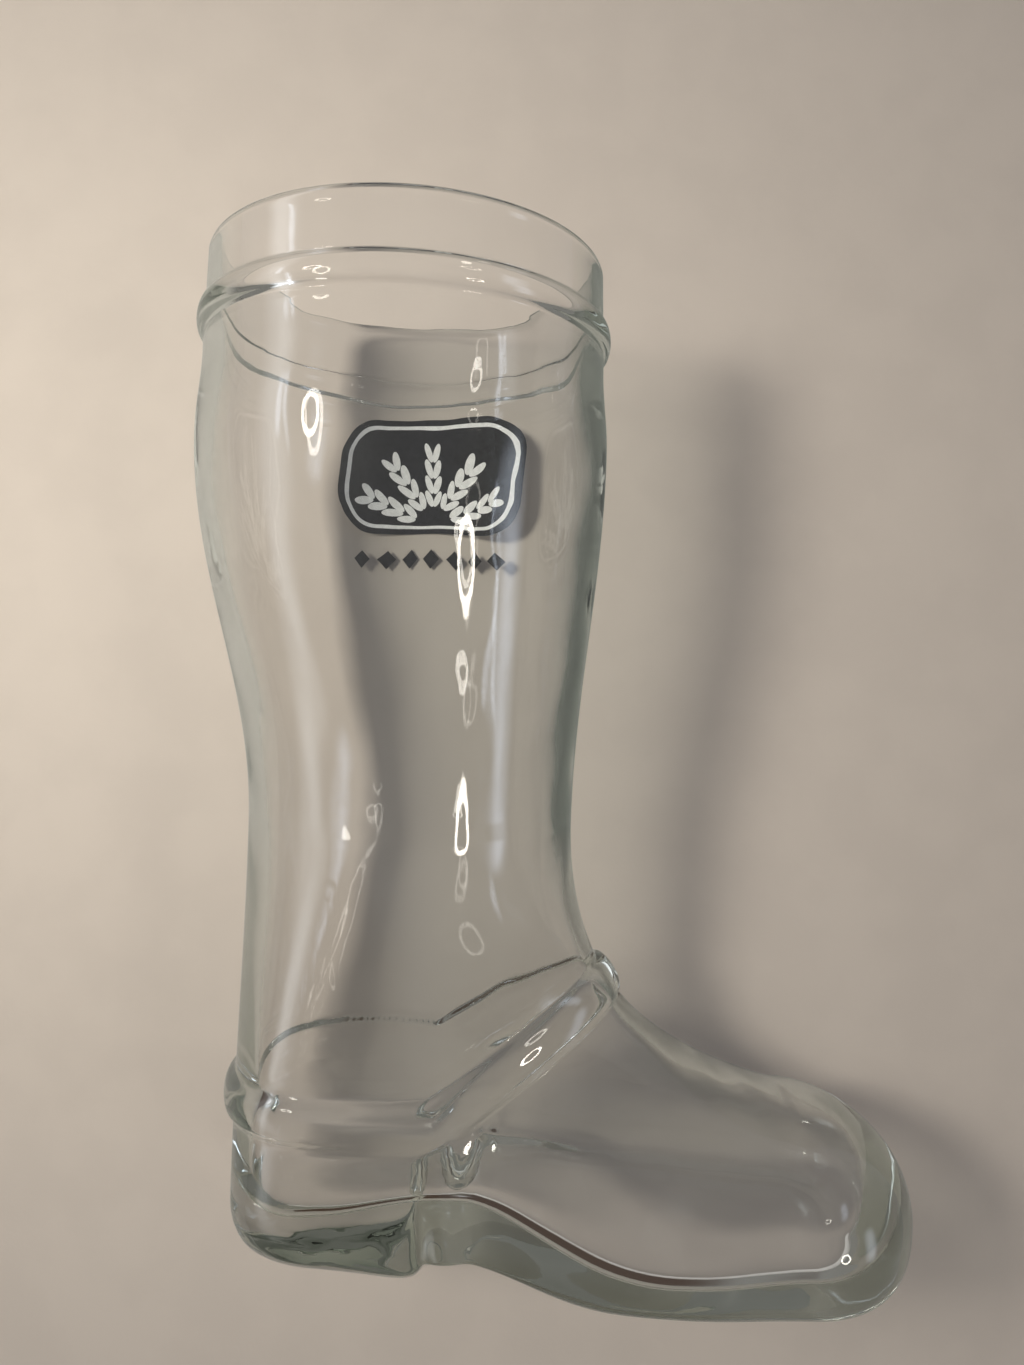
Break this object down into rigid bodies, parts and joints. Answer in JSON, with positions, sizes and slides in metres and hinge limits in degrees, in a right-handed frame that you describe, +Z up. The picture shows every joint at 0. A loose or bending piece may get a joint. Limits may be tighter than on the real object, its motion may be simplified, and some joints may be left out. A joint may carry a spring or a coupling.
{
  "type": "beer boot glass",
  "caption": "Clear glass drinking boot with a plain mouth band, raised bead, moulded harness straps, thick heel and sole, and a fired print on one side of the leg.",
  "frame": {"origin": "on the table, under the middle of the boot's box", "axes": "+Z up towards the mouth, +X towards the toe, +Y towards the printed side"},
  "size_m": [0.1476, 0.083, 0.197],
  "materials": {
    "clear_glass": "fire polished, with a faint green tint in the thick glass",
    "black_enamel": "fired enamel, satin",
    "white_enamel": "fired enamel, satin"
  },
  "bodies": {
    "root": {"mouth_band": "clear_glass", "cuff_bead": "clear_glass", "shaft": "clear_glass", "heel_counter": "clear_glass", "heel_block": "clear_glass", "vamp": "clear_glass", "sole": "clear_glass", "ankle_strap": "clear_glass", "instep_strap": "clear_glass", "arch_straps": "clear_glass", "print_black": "black_enamel", "print_rule": "black_enamel", "print_white": "white_enamel"}
  },
  "joints": []
}
